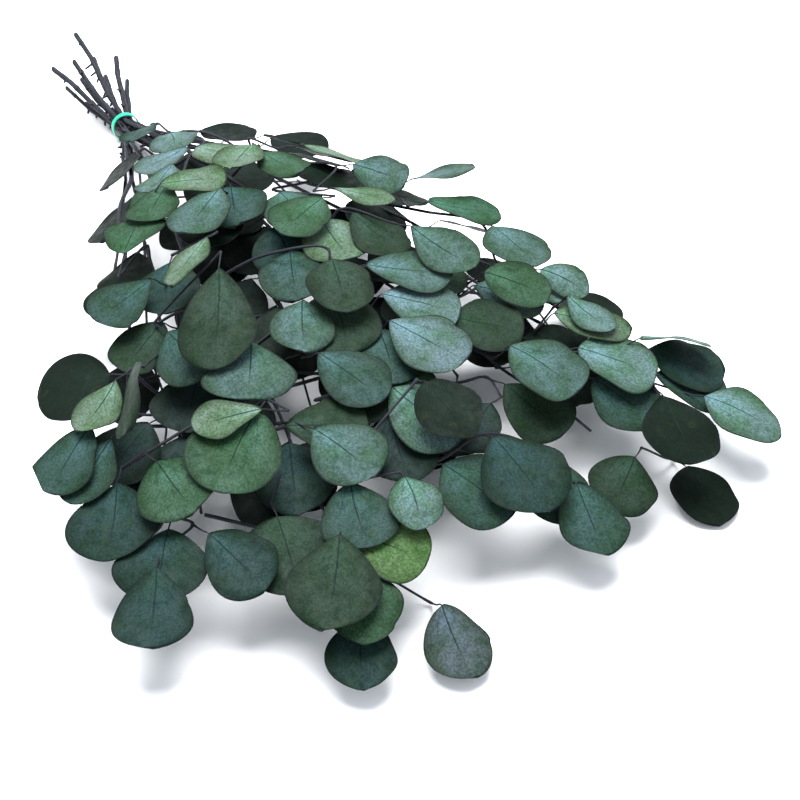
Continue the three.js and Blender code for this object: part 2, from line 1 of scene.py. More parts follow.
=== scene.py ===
import math
import bpy
import numpy as np
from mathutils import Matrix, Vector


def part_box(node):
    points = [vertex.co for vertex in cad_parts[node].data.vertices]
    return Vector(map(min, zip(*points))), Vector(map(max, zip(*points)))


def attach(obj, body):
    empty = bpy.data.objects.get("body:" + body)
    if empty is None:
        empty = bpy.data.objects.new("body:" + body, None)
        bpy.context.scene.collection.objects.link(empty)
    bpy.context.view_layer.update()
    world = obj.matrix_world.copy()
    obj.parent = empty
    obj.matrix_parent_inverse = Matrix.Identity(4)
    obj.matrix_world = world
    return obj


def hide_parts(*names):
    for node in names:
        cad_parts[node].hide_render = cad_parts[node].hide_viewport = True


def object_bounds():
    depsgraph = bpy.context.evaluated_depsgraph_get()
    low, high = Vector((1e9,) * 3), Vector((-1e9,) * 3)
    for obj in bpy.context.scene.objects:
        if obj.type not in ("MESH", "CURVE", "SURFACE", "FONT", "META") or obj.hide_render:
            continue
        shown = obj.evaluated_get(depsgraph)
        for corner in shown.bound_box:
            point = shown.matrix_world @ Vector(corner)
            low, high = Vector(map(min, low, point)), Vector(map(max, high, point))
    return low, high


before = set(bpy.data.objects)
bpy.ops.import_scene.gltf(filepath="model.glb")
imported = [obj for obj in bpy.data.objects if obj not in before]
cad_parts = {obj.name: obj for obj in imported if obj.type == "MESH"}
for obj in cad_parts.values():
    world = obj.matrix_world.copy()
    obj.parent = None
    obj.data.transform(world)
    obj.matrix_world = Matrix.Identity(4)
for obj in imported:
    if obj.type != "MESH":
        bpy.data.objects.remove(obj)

# A tied bunch of preserved eucalyptus branches that lies on a pale table.
# Lengths in the dictionaries are millimetres; meshes are made in metres.
# The bunch's own axes: u from the band to the leaf tips, v across, z up; the frame has x = v, y = -u.

cadBox = [list(corner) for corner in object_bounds()]
metre = 0.001
fullTurn = 6.283  # radians
bandLow, bandHigh = (np.array(corner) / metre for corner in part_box("tie_band"))
bandMiddle = (bandLow + bandHigh) / 2
print("stage: frame loaded")


# points in the bunch's axes, mm -> the frame's metres: x = v, y = -u, shifted to the band's middle
def toFrame(points):
    points = np.asarray(points, dtype=float)
    parts = points[..., 1] + bandMiddle[0], bandMiddle[1] - points[..., 0], points[..., 2] + bandLow[2]
    return np.stack(parts, -1) * metre


def toLinear(hexColour):
    channels = [int(hexColour[i:i + 2], 16) / 255 for i in (1, 3, 5)]
    return [c / 12.92 if c <= 0.04045 else ((c + 0.055) / 1.055) ** 2.4 for c in channels]


# adds a node; a socket in inputs is linked, any other value is set; settings are the node's own
def addNode(tree, kind, inputs=None, **settings):
    node = tree.nodes.new(kind)
    for name, value in settings.items():
        setattr(node, name, value)
    for name, value in (inputs or {}).items():
        if isinstance(value, bpy.types.NodeSocket):
            tree.links.new(value, node.inputs[name])
        else:
            node.inputs[name].default_value = value
    return node


def newMaterial(name):
    material = bpy.data.materials.new(name)
    material.use_nodes = True
    material.node_tree.nodes.clear()
    return material, material.node_tree


# camera: place in the bunch's axes, mm, aim and tilt in degrees
cameraPlace = {"u": 784, "v": -208, "z": 412, "aim": 29, "tilt": 40, "lens": 53.64, "sensor": 36}


def buildCamera(place):
    data = bpy.data.cameras.new("camera")
    data.lens, data.sensor_width = place["lens"], place["sensor"]
    data.clip_start, data.clip_end = 0.01, 20
    cam = bpy.data.objects.new("camera", data)
    bpy.context.scene.collection.objects.link(cam)
    cam.location = toFrame([place["u"], place["v"], place["z"]])
    cam.rotation_euler = (math.radians(90 - place["tilt"]), 0, -math.radians(place["aim"]))
    bpy.context.scene.camera = cam


buildCamera(cameraPlace)

# heap: the shape the leaves lie on
heapShape = {
    "halfWidth": [[-60, 14], [0, 16], [60, 40], [120, 75], [200, 115], [300, 185], [400, 225], [480, 225],
                  [560, 190], [640, 120]],
    "crest": [[-150, 30], [-60, 22], [0, 18], [60, 38], [120, 58], [200, 74], [280, 74], [360, 62],
              [440, 44], [520, 24], [600, 10]],
    "under": 6, "layer": 8.5, "lowest": 2.2, "clearance": 1.3, "cell": 3, "facing": [784, -208, 412],
}
facing = np.array(heapShape["facing"], dtype=float)


# half an ellipse across, on the crest line: z = under + crest(u) * sqrt(1 - (v / halfWidth(u))^2)
def heapTop(u, v):
    across = v / np.interp(u, *np.transpose(heapShape["halfWidth"]))
    crest = np.interp(u, *np.transpose(heapShape["crest"]))
    return heapShape["under"] + crest * math.sqrt(max(0, 1 - across * across))


def layerHeight(u, v, layers):
    return max(heapTop(u, v) - layers * heapShape["layer"], heapShape["lowest"])


# moves a point along its line from the facing point until it is at height z
def slideTo(point, z):
    return point + (facing - point) * (z - point[2]) / (facing[2] - point[2])


def repeatable(seed):
    value = math.sin(seed * 12.9898) * 43758.5453
    return value - math.floor(value)


def unit(vector):
    return vector / np.linalg.norm(vector)


def turnAbout(vector, axis, degrees):
    angle = math.radians(degrees)
    return (vector * math.cos(angle) + np.cross(axis, vector) * math.sin(angle)
            + axis * np.dot(axis, vector) * (1 - math.cos(angle)))


# layout of each shoot: a tone for each leaf, then its leaves as base u, base v, heading, length,
# width, layers under the top of the heap, roll, pitch
# the tone letters d and k give painted shade: they colour the leaves that lie in shadow under others near
# black
leafRows = [
    ["tbbbg", [[94, -9, -40, 30, 26, 1], [132, -8, -15, 35, 31, 1], [166, -10, -80, 33, 31, 1],
        [185, -25, -44, 31, 30, 1], [201, -40, -28, 30, 28, 2]]],
    ["llgh", [[170, -5, 21, 35, 31, 0], [204, -40, 59, 37, 26, 0], [207, -36, -40, 35, 33, 0],
        [230, -14, -48, 44, 35, 0]]],
    ["td", [[233, -9, -18, 40, 38, 1], [250, -22, -35, 37, 35, 1.5]]],
    ["gd", [[253, -79, 143, 31, 37, 0], [258, -72, -40, 33, 33, 2]]],
    ["le", [[272, -40, -51, 37, 23, 0, 25], [280, -63, -25, 37, 35, 1]]],
    ["lg", [[187, 23, -42, 37, 31, 0], [202, 23, 19, 33, 31, 0]]],
    ["ldk", [[180, 60, 43, 44, 26, -1], [192, 47, 40, 37, 35, 1], [162, 41, 30, 28, 21, 1]]],
    ["hg", [[251, 12, -5, 38, 38, 1], [266, 31, -58, 42, 35, 0]]],
    ["elt", [[283, -5, -5, 39, 42, 1.5], [287, 20, 0, 33, 40, 1], [303, -6, -20, 37, 35, 1]]],
    ["hdl", [[224, 71, 31, 35, 26, 0, 45], [223, 39, 25, 40, 38, 1.5], [257, 42, 46, 35, 28, 0]]],
    ["hsd", [[246, 97, 60, 37, 31, -0.5, 0, 28], [284, 87, 72, 42, 33, 0], [264, 64, 45, 31, 30, 1]]],
    ["oh", [[286, 39, 13, 40, 30, 0.5], [305, 64, 20, 44, 28, 0, 25]]],
    ["hpp", [[313, 112, 4, 41, 44, 0], [354, 101, 20, 31, 23, 0.5], [357, 114, 30, 28, 19, 0, 35]]],
    ["hg", [[327, 25, 63, 45, 38, 0], [337, 51, 20, 28, 26, 1]]],
    ["oo", [[317, 11, -16, 40, 36, -0.5], [338, -1, -14, 42, 40, 0.5]]],
    ["bboh", [[350, 22, 50, 40, 40, 0.5], [368, 17, 30, 42, 40, 0], [376, 47, 59, 37, 38, 0.5],
        [403, 65, 22, 40, 42, 0]]],
    ["hg", [[360, 70, 50, 37, 35, 1], [352, 82, 41, 35, 26, 0.3, 25]]],
    ["pdl", [[380, 116, 15, 30, 23, 0], [377, 119, 20, 31, 31, 1], [390, 100, 53, 40, 26, 0]]],
    ["ppd", [[418, 135, 71, 38, 26, -0.3, -38], [415, 98, 45, 40, 38, 0], [400, 74, 45, 35, 33, 2]]],
    ["td", [[435, 93, 20, 38, 38, 1], [413, 85, -5, 35, 35, 2]]],
    ["etp", [[427, 132, 50, 40, 40, 1], [442, 127, 45, 37, 35, 1], [462, 142, 33, 40, 37, 0.5]]],
    ["ddo", [[455, 121, -16, 42, 40, 0], [495, 104, -9, 35, 33, 3], [482, 84, -54, 35, 33, 1.5]]],
    ["ttet", [[484, 49, -14, 37, 33, 1], [465, 44, -20, 37, 33, 1.4], [448, 27, 4, 44, 44, 0],
        [452, -2, 23, 38, 42, 1]]],
    ["ok", [[423, 49, 18, 37, 37, 2], [431, 36, -62, 33, 31, 2]]],
    ["too", [[286, -75, -75, 35, 37, 0], [318, -82, -55, 33, 31, 1], [335, -102, -27, 39, 26, 1, 55]]],
    ["ot", [[297, -43, -29, 56, 38, 0, 0, -14], [325, -82, 12, 37, 40, 0.5]]],
    ["dl", [[334, -115, -105, 35, 44, 0], [339, -114, -54, 31, 24, 0]]],
    ["ttk", [[358, -133, -48, 37, 31, 0.5], [371, -128, -50, 35, 26, 1], [373, -110, -60, 37, 37, 2]]],
    ["ge", [[394, -115, 8, 33, 40, 0], [395, -134, -28, 38, 40, 1]]],
    ["gl", [[391, -65, -45, 45, 44, 0], [391, -62, -100, 33, 23, -0.5]]],
    ["hhd", [[352, -50, -28, 35, 44, 0], [338, -16, -24, 35, 33, 0.5], [337, -29, -22, 35, 35, 1.5]]],
    ["kk", [[353, -76, -30, 40, 38, 2], [387, -96, -30, 37, 35, 2.5]]],
    ["tt", [[373, -24, 22, 40, 33, 0], [368, 9, -15, 37, 35, 1]]],
    ["ho", [[411, -46, 21, 37, 38, 0], [404, -57, 64, 38, 37, 0.5]]],
    ["dgp", [[397, -27, 38, 26, 24, 1], [397, 1, 30, 24, 21, 1], [405, -2, 18, 42, 40, 0.5]]],
    ["dktp", [[408, 14, 6, 37, 33, -0.5], [418, -10, -15, 37, 37, 2], [443, -44, -13, 33, 35, 0.5],
        [451, -21, -14, 27, 25, 0]]],
    ["eee", [[428, -123, -29, 34, 40, 1], [442, -134, -28, 36, 34, 0.6], [439, -109, 17, 36, 31, 0.8]]],
    ["oe", [[445, -80, -10, 37, 44, 1], [413, -59, -20, 38, 37, 2]]],
    ["oge", [[464, -60, -35, 44, 40, 0], [481, -59, -25, 35, 34, 0.8], [502, -69, -27, 31, 29, 1.8]]],
    ["yn", [[464, -56, 42, 36, 33, 1], [511, -37, -8, 34, 28, 2.2]]],
]
# each stem: reach and angle of its place in the band, radius, cut end and leafy end
stemRows = [
    [6.3, 90, 1.9, [-99, 0, 42], [300, 20, 52]],
    [6.3, 130, 1.85, [-66, -14, 35], [372, -62, 44]],
    [6.3, 170, 1.95, [-76, -27, 29], [240, -85, 42]],
    [6.3, 210, 1.5, [-74, -21, 13], [345, -112, 34]],
    [6.3, 250, 1.6, [-58, -12, 5], [412, -104, 30]],
    [2.3, 210, 1.7, [-70, -9, 19], [458, -56, 26]],
    [2.3, 90, 1.7, [-84, 7, 27], [398, -16, 38]],
    [6.3, 50, 2.0, [-66, 19, 32], [240, 72, 52]],
    [6.3, 10, 1.7, [-52, 21, 19], [332, 110, 42]],
    [6.3, -30, 1.6, [-47, 17, 7], [430, 128, 28]],
    [6.3, -70, 1.6, [-44, 4, 3], [446, 86, 24]],
    [2.3, -30, 1.7, [-72, 9, 16], [430, 34, 32]],
]


def placeLeaf(row, seed, tone):
    u, v, heading, length, width, layers = row[:6]
    roll, pitch = (list(row[6:]) + [0, 0])[:2]
    reach = np.array([math.cos(math.radians(heading)), math.sin(math.radians(heading))])

    def onTop(a, b):
        return slideTo(np.array([a, b, heapTop(a, b)]), layerHeight(a, b, layers))

    base, tip = onTop(u, v), onTop(u + reach[0] * length, v + reach[1] * length)
    span = np.linalg.norm(tip - base)
    scale = min(span / length, 1.08)
    mu, mv, step = (base[0] + tip[0]) / 2, (base[1] + tip[1]) / 2, 9
    slopeU = (layerHeight(mu + step, mv, layers) - layerHeight(mu - step, mv, layers)) / (2 * step)
    slopeV = (layerHeight(mu, mv + step, layers) - layerHeight(mu, mv - step, layers)) / (2 * step)
    midrib = (tip - base) / span
    across = unit(np.cross(unit(np.array([-slopeU, -slopeV, 1])), midrib))
    midrib = turnAbout(midrib, across, -pitch)
    across = turnAbout(across, midrib, roll)
    return {
        "base": base, "midrib": midrib, "across": across, "normal": unit(np.cross(midrib, across)),
        "order": 0.4 * heapTop(mu, mv) - heapShape["layer"] * layers + (100 if roll or pitch else 0),
        "length": length * scale, "width": width * scale, "tone": tone, "seed": seed,
        "fold": 1.6 * (repeatable(seed) - 0.35), "arch": 2.4 * (repeatable(seed + 0.5) - 0.3),
        "roundness": 0.56 + 0.16 * repeatable(seed + 0.7),
    }


# half the width: (width / 2) * (s (1 - s))^r / 0.25^r
def halfWidthAt(leaf, s):
    return leaf["width"] / 2 * (s * (1 - s)) ** leaf["roundness"] / 0.25 ** leaf["roundness"]


# base + midrib s L + across side + normal height, for arrays of s, side and height
def leafPoint(leaf, s, side, height):
    place = [np.multiply.outer(amount, leaf[axis]) for amount, axis in
             ((s * leaf["length"], "midrib"), (side, "across"), (height, "normal"))]
    return leaf["base"] + place[0] + place[1] + place[2]


def leafHeight(leaf, s, t):
    return leaf["fold"] * t * t + leaf["arch"] * (1 - (2 * s - 1) ** 2)


sampleGrid = np.meshgrid(np.arange(17) / 16, np.arange(-7, 8) / 7, indexing="ij")
sampleS, sampleT = (grid.ravel() for grid in sampleGrid)
heap = np.zeros((400, 400))  # height of the leaves laid so far, one value for each cell
heapOffset = 150  # cells before u = 0 and v = 0


# lifts a leaf along its line to the facing point until it clears the ones under it
def settleLeaf(leaf):
    def samples():
        height = leafHeight(leaf, sampleS, sampleT)
        points = leafPoint(leaf, sampleS, sampleT * halfWidthAt(leaf, sampleS), height)
        cells = np.floor(points[:, :2] / heapShape["cell"] + 0.5).astype(int) + heapOffset
        return points, cells

    for _ in range(8):
        points, cells = samples()
        under = heap[cells[:, 0], cells[:, 1]]
        lift = np.max(np.maximum(under + heapShape["clearance"], 1.2) - points[:, 2])
        if lift < 0.05:
            break
        leaf["base"] = slideTo(leaf["base"], leaf["base"][2] + lift)
    points, cells = samples()
    np.maximum.at(heap, (cells[:, 0], cells[:, 1]), points[:, 2])


innerFan = {"sectors": 7, "from": -18, "to": 17, "first": 140, "last": 430, "step": 35, "aside": 28,
            "turn": 24, "length": 38, "width": 36, "layers": 3.5, "alternate": 0.8}


# leaves inside the heap, on arcs about the band, a step apart; each sector is one shoot
def innerShoots(fan):
    sectors = [[] for _ in range(fan["sectors"])]
    spread = fan["to"] - fan["from"]
    for arc, reach in enumerate(range(fan["first"], fan["last"], fan["step"])):
        count = math.floor(reach * math.radians(spread) / fan["step"] + 0.5)
        for k in range(count):
            heading = fan["from"] + spread * (k + (0.75 if arc % 2 else 0.25)) / count
            side = 1 if (k + arc) % 2 else -1
            sector = min(math.floor((heading - fan["from"]) / spread * fan["sectors"]), fan["sectors"] - 1)
            turned = heading + side * fan["aside"] + fan["turn"] * (repeatable(reach + k) - 0.5)
            ahead = math.radians(heading)
            place = [reach * math.cos(ahead), reach * math.sin(ahead), turned]
            layers = fan["layers"] + fan["alternate"] * ((k + arc) % 2)
            sectors[sector].append(place + [fan["length"], fan["width"], layers])
    # tone i paints these inner leaves near black as painted shade, so the gaps between the top leaves look
    # shadowed
    return [("i" * len(rows), rows) for rows in sectors]


shoots = [{"name": f"leafy_shoot_{i + 1:02d}", "rows": row} for i, row in enumerate(leafRows)]
shoots += [{"name": f"inner_shoot_{i + 1}", "rows": row} for i, row in enumerate(innerShoots(innerFan))]
for i, shoot in enumerate(shoots):
    tones, rows = shoot["rows"]
    shoot["leaves"] = [placeLeaf(row, 1 + i * 7 + k * 1.7, tones[k]) for k, row in enumerate(rows)]
everyLeaf = [leaf for shoot in shoots for leaf in shoot["leaves"]]
for leaf in sorted(everyLeaf, key=lambda one: one["order"]):
    settleLeaf(leaf)
print("stage: leaves laid on the heap")


# centripetal Catmull-Rom through the points: each span is the cubic
# x1 + m1 w + (-3 x1 + 3 x2 - 2 m1 - m2) w^2 + (2 x1 - 2 x2 + m1 + m2) w^3
def smoothLine(points, steps):
    points = np.asarray(points, dtype=float)
    padded = np.vstack([2 * points[0] - points[1], points, 2 * points[-1] - points[-2]])
    at = np.arange(steps + 1) / steps * (len(points) - 1)
    span = np.minimum(at.astype(int), len(points) - 2)
    w = (at - span)[:, None]
    x0, x1, x2, x3 = (padded[span + k] for k in range(4))
    spans = (x0, x1), (x1, x2), (x2, x3)
    d0, d1, d2 = (np.sqrt(np.linalg.norm(b - a, axis=1))[:, None] for a, b in spans)
    m1 = ((x1 - x0) / d0 - (x2 - x0) / (d0 + d1) + (x2 - x1) / d1) * d1
    m2 = ((x2 - x1) / d1 - (x3 - x1) / (d1 + d2) + (x3 - x2) / d2) * d1
    return x1 + m1 * w + (3 * (x2 - x1) - 2 * m1 - m2) * w ** 2 + (2 * (x1 - x2) + m1 + m2) * w ** 3


# stems
stemShape = {
    "steps": 20, "tipRadius": 0.75, "cutFlare": 1.1, "bandRadius": 10, "sides": 14, "fineSteps": 150,
    "knotEvery": 19, "knotSwell": 0.22, "knotReach": 1.6, "slant": 0.7, "crook": 1.2, "barkShare": 0.9,
    "spurLength": 8, "spurRoot": 0.95, "spurTip": 0.7, "spurSides": 8, "bareFrom": 12, "bareTo": 60,
}


def stemStops(row):
    reach, angle, _, cut, tip = row
    slotV, slotZ = reach * math.cos(math.radians(angle)), reach * math.sin(math.radians(angle))
    height = stemShape["bandRadius"] + slotZ
    rise = np.array([105, tip[1] * 0.24 + slotV * 1.5, 30 + 1.9 * slotZ])
    far = (rise + tip) / 2 + [0, 0, 7]
    return [cut, [-6, slotV, height], [6, slotV, height], rise, far, tip]


def stemRadii(radius, count):
    share = np.arange(count) / (count - 1)
    taper = radius + (stemShape["tipRadius"] - radius) * np.maximum(share - 0.4, 0) / 0.6
    flare = stemShape["cutFlare"] + (1 - stemShape["cutFlare"]) * share / 0.2
    return np.where(share < 0.2, radius * flare, taper)


stems = []
for row in stemRows:
    points = smoothLine(stemStops(row), stemShape["steps"])
    stems.append({"points": points, "radii": stemRadii(row[2], len(points)), "row": row})

# twigs: from a stem past every leaf stalk of the shoot
twigShape = {
    "rootRadius": 0.95, "tipRadius": 0.55, "stalkRadius": 0.5, "placesTried": 24, "gap": 0.35,
    "stalks": [12, 9, 15, 7], "drops": [5, 8, 3, 11, 14], "bows": [0, -4, 4, -8, 8],
    "sides": 10, "fine": 12, "jointSwell": 0.35, "jointReach": 1.4,
    "stalkRadii": [0.72, 0.45, 0.3, 0.08], "stalkRadiiAt": [0, 1.5, 9, 12], "stalkOnBlade": 0.12,
}
runs = {"a": np.zeros((0, 3)), "b": np.zeros((0, 3)), "radius": np.zeros(0)}


def addRuns(points, radii):
    runs["a"] = np.vstack([runs["a"], points[:-1]])
    runs["b"] = np.vstack([runs["b"], points[1:]])
    runs["radius"] = np.append(runs["radius"], np.maximum(radii[:-1], radii[1:]))


# counts the runs in place that come nearer than the two radii and the margin, by the closest
# distance of two segments: p + d1 m and r + d2 n
def clashes(points, radii, margin):
    p, d1 = points[:-1, None], (points[1:] - points[:-1])[:, None]
    r, d2 = runs["a"][None], runs["b"] - runs["a"]
    w = p - r
    a, b, c = (d1 * d1).sum(-1), (d1 * d2).sum(-1), (d2 * d2).sum(-1)
    d, e = (d1 * w).sum(-1), (d2 * w).sum(-1)
    slant = a * c - b * b
    m = np.where(slant > 1e-9, np.clip((b * e - c * d) / np.maximum(slant, 1e-9), 0, 1), 0)
    n = np.clip((b * m + e) / c, 0, 1)
    m = np.clip((b * n - d) / a, 0, 1)
    apart = np.linalg.norm(w + d1 * m[..., None] - d2 * n[..., None], axis=-1)
    return int((apart < np.maximum(radii[:-1], radii[1:])[:, None] + runs["radius"] + margin).sum())


# counts how often a middle line goes through, or runs close along, the blades of other shoots
def bladeCrossings(blades, points):
    line = []
    for p, q in zip(points[:-1], points[1:]):
        steps = math.ceil(np.linalg.norm(q - p) / 4)
        line += [p + (q - p) * k / steps for k in range(1, steps + 1)]
    off = np.array(line)[:, None] - blades["base"]
    s = (off * blades["midrib"]).sum(-1) / blades["length"]
    held = np.clip(s, 0, 1)
    half = blades["width"] / 2 * (held * (1 - held)) ** blades["roundness"] / 0.25 ** blades["roundness"]
    near = ((off ** 2).sum(-1) <= 2500) & (s >= 0) & (s <= 1)
    near &= np.abs((off * blades["across"]).sum(-1)) < half + 1
    near &= np.abs((off * blades["normal"]).sum(-1)) < 2
    return int(near.sum())


def stalkPoints(leaf, reach, drop):
    joint = leaf["base"] - leaf["midrib"] * reach
    joint[2] = max(joint[2] - drop, 1.6)
    return np.array([joint, leafPoint(leaf, 0, 0, leafHeight(leaf, 0, 0))])


def twigTube(stalks, bow, root):
    joints = sorted((stalk[0] for stalk in stalks), key=lambda joint: joint[0])
    bend = (root + joints[0]) / 2
    bend[2] = max(bend[2] + bow, 2)
    stops = [root, bend, *joints]
    twig = smoothLine(stops, 2 * (len(joints) + 1))
    twig = np.vstack([twig, twig[-1] + unit(twig[-1] - twig[-2])])
    share = np.arange(len(twig)) / (len(twig) - 1)
    radii = twigShape["rootRadius"] + (twigShape["tipRadius"] - twigShape["rootRadius"]) * share
    return {"twig": twig, "radii": radii, "stalks": stalks, "stops": stops}


def rootPlaces(joint):
    places = []
    for stem in stems:
        for point, radius in zip(stem["points"], stem["radii"]):
            distance = np.linalg.norm(joint - point)
            if 25 <= point[0] <= joint[0] and 6 <= distance <= 130:
                off = radius + twigShape["rootRadius"] + twigShape["gap"] + 0.1
                places.append((distance, point + (joint - point) * off / distance))
    return [place for _, place in sorted(places, key=lambda one: one[0])][:twigShape["placesTried"]]


def tubeFaults(blades, points, radii):
    return 10 * clashes(points, radii, twigShape["gap"] / 4) + bladeCrossings(blades, points)


# tries stalk lengths, drops, bows and roots in turn and stops at the first clear route
def routeShoot(shoot):
    first = min((stalkPoints(leaf, 12, 6)[0] for leaf in shoot["leaves"]), key=lambda joint: joint[0])
    others = [leaf for leaf in everyLeaf if not any(leaf is own for own in shoot["leaves"])]
    blades = {key: np.array([leaf[key] for leaf in others]) for key in
              ("base", "midrib", "across", "normal", "length", "width", "roundness")}
    stalkRadii = np.full(2, twigShape["stalkRadius"])
    choices = [(bow, place) for bow in twigShape["bows"] for place in rootPlaces(first)]
    best, fewest = None, math.inf
    for reach, drop in ((reach, drop) for reach in twigShape["stalks"] for drop in twigShape["drops"]):
        stalks = [stalkPoints(leaf, reach, drop) for leaf in shoot["leaves"]]
        stalkFaults = sum(tubeFaults(blades, stalk, stalkRadii) for stalk in stalks)
        for bow, place in choices:
            if stalkFaults >= fewest:
                break
            tubes = twigTube(stalks, bow, place)
            faults = stalkFaults + tubeFaults(blades, tubes["twig"], tubes["radii"])
            if faults < fewest:
                best, fewest = tubes, faults
        if fewest == 0:
            break
    shoot.update(best)
    addRuns(shoot["twig"], shoot["radii"])
    for stalk in shoot["stalks"]:
        addRuns(stalk, stalkRadii)


for stem in stems:
    addRuns(stem["points"], stem["radii"])
for shoot in reversed(shoots):
    routeShoot(shoot)
print("stage: twigs routed")


# mesh parts: points in mm, faces, and for each point a place, a size in mm and a tone
# ring k of the tube = point + radius (across cos a + other sin a), closed by a point at each end
def tubePart(points, radii, sides, tone, seed, slant=0.0):
    direction = np.gradient(points, axis=0)
    direction /= np.linalg.norm(direction, axis=1)[:, None]
    across = np.cross(direction, [0.15, 0.25, 1])
    across /= np.linalg.norm(across, axis=1)[:, None]
    other = np.cross(direction, across)
    angle = np.arange(sides) * 2 * math.pi / sides
    ring = across[:, None] * np.cos(angle)[None, :, None] + other[:, None] * np.sin(angle)[None, :, None]
    surface = points[:, None] + ring * np.reshape(radii, (len(points), -1, 1))
    surface[0] += direction[0] * (slant * radii[0] * np.sin(angle))[:, None]  # the first end is cut aslant
    count = len(points)
    lower = np.arange(count - 1)[:, None] * sides + np.arange(sides)
    upper = np.arange(count - 1)[:, None] * sides + (np.arange(sides) + 1) % sides
    quads = np.stack([lower, upper, upper + sides, lower + sides], -1).reshape(-1, 4)
    k = np.arange(sides)
    first = np.stack([np.full(sides, count * sides), (k + 1) % sides, k], -1)
    end = (count - 1) * sides
    last = np.stack([np.full(sides, count * sides + 1), k + end, (k + 1) % sides + end], -1)
    far = np.append(0, np.cumsum(np.linalg.norm(np.diff(points, axis=0), axis=1)))
    length = np.repeat(far, sides)
    place = np.stack([length, np.tile(np.cos(angle), count), np.tile(np.sin(angle), count)], -1)
    place = np.vstack([place, [[0, 0, 0], [far[-1], 0, 0]]])
    return {"points": np.vstack([surface.reshape(-1, 3), points[0], points[-1]]), "quads": quads,
            "triangles": np.vstack([first, last]), "place": place, "size": place + [0, 0, seed],
            "tone": tone}


leafSurface = {
    "rings": 26, "columns": 15, "thickness": 0.42, "rimShare": 0.6, "wedge": 0.42, "blunt": 0.2,
    "wobble": 0.035, "wave": 0.85, "notch": 0.07, "bend": 1.6, "curl": 1.3,
}


# s and t over the blade, with the outline w(s) = W/2 s^a (1 - s)^b / peak * (1 - wobble - notch),
# height = fold t^2 + arch (1 - (2s - 1)^2) + wave t^2 sin(2 pi (1.3 s + phase)) + curl s t^3 +- half the
# thickness, and the midrib shifted sideways by bend 4 s (1 - s)
def leafPart(leaf):
    seed, rings, columns = leaf["seed"], leafSurface["rings"], leafSurface["columns"]
    even = (1 - np.cos(np.linspace(0, math.pi, rings + 2)[1:-1])) / 2
    half = np.sin(np.linspace(-math.pi / 2, math.pi / 2, columns))
    s, t = np.meshgrid(even, np.concatenate([half, half[::-1]]), indexing="ij")
    side = np.where(np.arange(2 * columns) < columns, 1.0, -1.0) * np.ones_like(s)
    a = leaf["roundness"] - 0.04 + leafSurface["wedge"] * repeatable(seed + 0.1)
    b = leaf["roundness"] - leafSurface["blunt"] * repeatable(seed + 0.2)
    peak = (a / (a + b)) ** a * (b / (a + b)) ** b
    turn = fullTurn * repeatable(seed + 0.3)
    wobble = leafSurface["wobble"] * (1 + np.sin(9 * s * (1 + 0.3 * t) + turn + 2 * np.sign(t)))
    notchAt = 0.35 + 0.5 * repeatable(seed + 0.4)
    notchDepth = leafSurface["notch"] * repeatable(seed + 0.6)
    notch = notchDepth * np.exp(-((s - notchAt) / 0.05) ** 2) * (t > 0)
    width = leaf["width"] / 2 * s ** a * (1 - s) ** b / peak * (1 - wobble - notch)
    thick = leafSurface["thickness"] / 2 * (1 - (1 - leafSurface["rimShare"]) * np.abs(t) ** 3)
    wave = leafSurface["wave"] * t * t * np.sin(fullTurn * (1.3 * s + repeatable(seed + 0.8)) + 1.5 * t)
    curl = leafSurface["curl"] * (2 * repeatable(seed + 0.9) - 1) * t ** 3 * s
    bend = leafSurface["bend"] * (2 * repeatable(seed + 0.15) - 1) * 4 * s * (1 - s)
    height = leafHeight(leaf, s, t) + wave + curl + side * thick
    points = leafPoint(leaf, s, t * width + bend, height).reshape(-1, 3)
    poles = leafPoint(leaf, np.array([0.0, 1.0]), np.zeros(2), np.zeros(2))
    ringSize = 2 * columns
    k = np.arange(ringSize)
    lower = np.arange(rings - 1)[:, None] * ringSize
    quads = np.stack([lower + k, lower + k + ringSize, lower + (k + 1) % ringSize + ringSize,
                      lower + (k + 1) % ringSize], -1).reshape(-1, 4)
    total, end = rings * ringSize, (rings - 1) * ringSize
    first = np.stack([np.full(ringSize, total), k, (k + 1) % ringSize], -1)
    last = np.stack([end + k, np.full(ringSize, total + 1), end + (k + 1) % ringSize], -1)
    place = np.vstack([np.stack([s, t, side], -1).reshape(-1, 3), [[0, 0, 1], [1, 0, 1]]])
    size = np.stack([s * leaf["length"], t * width, np.full_like(s, seed * 13)], -1).reshape(-1, 3)
    size = np.vstack([size, [[0, 0, seed * 13], [leaf["length"], 0, seed * 13]]])
    return {"points": np.vstack([points, poles]), "quads": quads, "triangles": np.vstack([first, last]),
            "place": place, "size": size, "tone": leaf["tone"]}


# leaf colours, one letter for each tone; d and k are painted shade, near-black colours for leaves that lie
# in shadow under other leaves, and i is the same painted shade for the leaves inside the heap
leafTones = {
    "p": "#4f6465", "b": "#516269", "h": "#3e5252", "l": "#546458", "g": "#31493a", "s": "#2e4c3d",
    "o": "#213026", "d": "#07140c", "t": "#2b3f3e", "e": "#1d3030", "n": "#3e464d", "y": "#485f3c",
    "k": "#1a2626", "i": "#09130f",
}
barkTone = "#3a3d48"


def toneOf(part):
    return toLinear(leafTones.get(part["tone"], barkTone)) + [1]

meshShape = {"boxMargin": 2e-5, "sharpAngle": 50}  # metres, degrees


